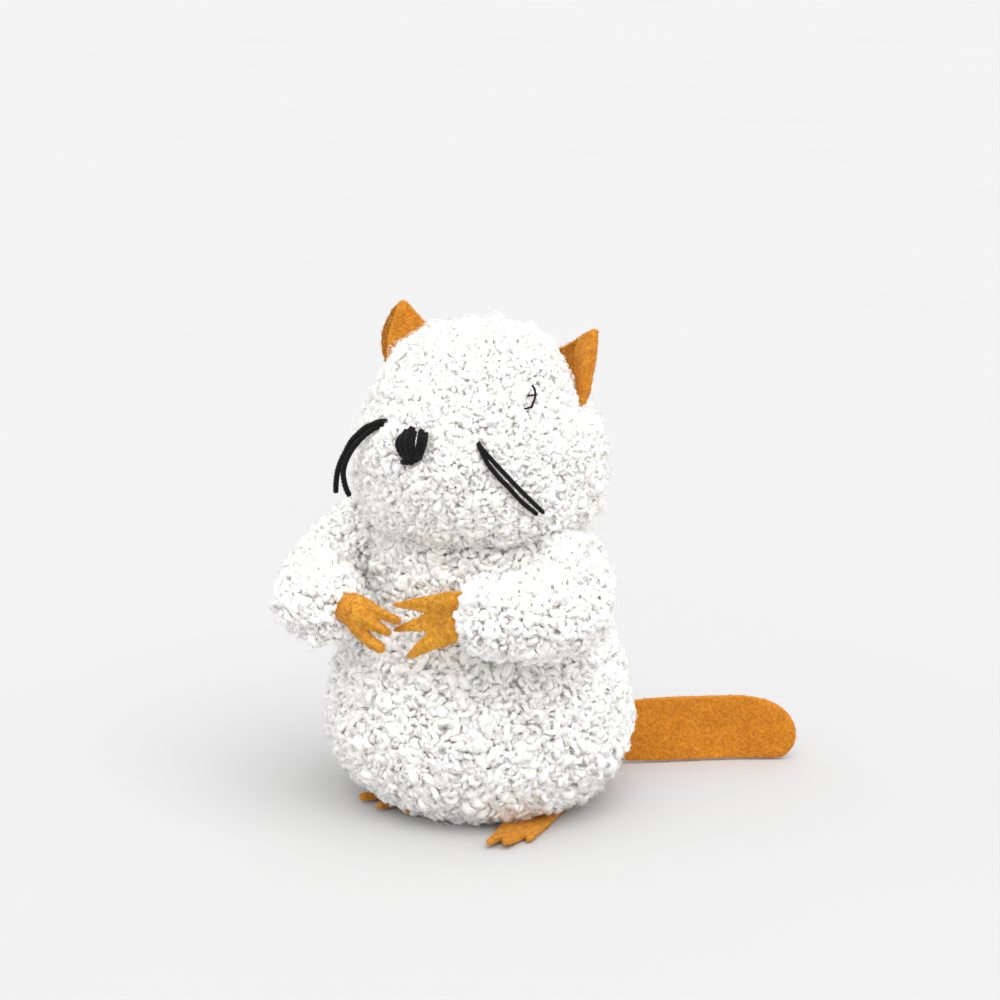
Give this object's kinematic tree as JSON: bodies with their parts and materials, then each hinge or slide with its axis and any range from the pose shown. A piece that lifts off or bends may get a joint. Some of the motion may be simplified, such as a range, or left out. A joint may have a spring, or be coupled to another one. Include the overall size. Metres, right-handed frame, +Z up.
{
  "type": "plush mouse cat toy",
  "caption": "Soft standing mouse in curly white pile, with felt ears, paws, feet and tail, a yarn nose and whiskers, and a press-to-chirp sound module inside.",
  "frame": {"origin": "on the resting face of the base panel, under the torso's axis", "axes": "+Z up through the head, -Y the way the mouse faces, +X the mouse's own left"},
  "size_m": [0.1055, 0.1097, 0.1243],
  "materials": {
    "curly_pile": "curly boucle pile, matt",
    "lining": "short matt pile",
    "fibre_fill": "loose fibre",
    "felt_orange": "needle felt, matt",
    "yarn_black": "twisted yarn, matt",
    "case_plastic": "moulded, fine texture",
    "button_plastic": "moulded, smooth",
    "board": "solder mask",
    "black_plastic": "moulded",
    "steel": "plated",
    "brass": "bare",
    "red_pvc": "extruded",
    "black_pvc": "extruded"
  },
  "bodies": {
    "torso": {"torso_cover_front": "curly_pile", "torso_cover_back_left": "curly_pile", "torso_cover_back_right": "curly_pile", "base_panel": "lining", "torso_stuffing_front": "fibre_fill", "torso_stuffing_back": "fibre_fill", "case_front": "case_plastic", "case_back": "case_plastic", "circuit_board": "board", "switch_body": "black_plastic", "chip_blob": "black_plastic", "button_cell_1": "steel", "button_cell_2": "steel", "button_cell_3": "steel", "contact_strip_upper": "brass", "contact_strip_lower": "brass", "piezo_disc": "brass", "lead_red": "red_pvc", "lead_black": "black_pvc", "case_screw_1": "steel", "case_screw_2": "steel", "case_screw_3": "steel"},
    "head": {"head_cover_front": "curly_pile", "head_cover_back": "curly_pile", "head_stuffing": "fibre_fill", "nose": "yarn_black", "eye_left": "yarn_black", "eye_right": "yarn_black", "whisker_yarn_upper": "yarn_black", "whisker_yarn_lower": "yarn_black"},
    "ear_left": {"ear_left": "felt_orange"},
    "ear_right": {"ear_right": "felt_orange"},
    "arm_left": {"arm_cover_left": "curly_pile", "arm_stuffing_left": "fibre_fill"},
    "arm_right": {"arm_cover_right": "curly_pile", "arm_stuffing_right": "fibre_fill"},
    "hand_left": {"hand_left": "felt_orange"},
    "hand_right": {"hand_right": "felt_orange"},
    "foot_left": {"foot_left": "felt_orange"},
    "foot_right": {"foot_right": "felt_orange"},
    "tail": {"tail": "felt_orange"},
    "button": {"button_cap": "button_plastic", "switch_plunger": "steel"}
  },
  "joints": [
    {"name": "neck_turn", "type": "hinge", "parent": "torso", "child": "head", "pos_m": [0, 0, 0.074], "axis": [0, 0, 1], "range_deg": [-25, 25], "stiffness_Nm_per_rad": 0.03},
    {"name": "ear_left_flex", "type": "hinge", "parent": "head", "child": "ear_left", "pos_m": [0.02291, 0.00566, 0.10913], "axis": [0.5494, -0.3434, -0.7617], "range_deg": [-15, 15], "stiffness_Nm_per_rad": 0.001},
    {"name": "ear_right_flex", "type": "hinge", "parent": "head", "child": "ear_right", "pos_m": [-0.02307, 0.00559, 0.11074], "axis": [0.5906, 0.3609, 0.7218], "range_deg": [-15, 15], "stiffness_Nm_per_rad": 0.001},
    {"name": "shoulder_left", "type": "hinge", "parent": "torso", "child": "arm_left", "pos_m": [0.0276, 0.0029, 0.06], "axis": [0, 0, 1], "range_deg": [0, 45], "stiffness_Nm_per_rad": 0.01},
    {"name": "shoulder_right", "type": "hinge", "parent": "torso", "child": "arm_right", "pos_m": [-0.0276, 0.0037, 0.06], "axis": [0, 0, -1], "range_deg": [0, 45], "stiffness_Nm_per_rad": 0.01},
    {"name": "cuff_left", "type": "hinge", "parent": "arm_left", "child": "hand_left", "pos_m": [0.01473, -0.03875, 0.05874], "axis": [0.3144, 0.0295, -0.9488], "range_deg": [-15, 15], "stiffness_Nm_per_rad": 0.001},
    {"name": "cuff_right", "type": "hinge", "parent": "arm_right", "child": "hand_right", "pos_m": [-0.0142, -0.04009, 0.05627], "axis": [-0.3445, -0.2409, -0.9073], "range_deg": [-15, 15], "stiffness_Nm_per_rad": 0.001},
    {"name": "foot_left_lift", "type": "hinge", "parent": "torso", "child": "foot_left", "pos_m": [0.0195, -0.004, 0.00085], "axis": [-0.9939, -0.11, 0], "range_deg": [0, 10], "stiffness_Nm_per_rad": 0.002},
    {"name": "foot_right_lift", "type": "hinge", "parent": "torso", "child": "foot_right", "pos_m": [-0.011, 0, 0.00085], "axis": [-0.9707, 0.2402, 0], "range_deg": [0, 10], "stiffness_Nm_per_rad": 0.002},
    {"name": "tail_swing", "type": "hinge", "parent": "torso", "child": "tail", "pos_m": [0.0032, 0.0351, 0.009], "axis": [0, 0, 1], "range_deg": [0, 60], "stiffness_Nm_per_rad": 0.002},
    {"name": "button_press", "type": "slide", "parent": "torso", "child": "button", "axis": [0, 1, 0], "range_m": [0, 0.0008], "stiffness_N_per_m": 400}
  ]
}
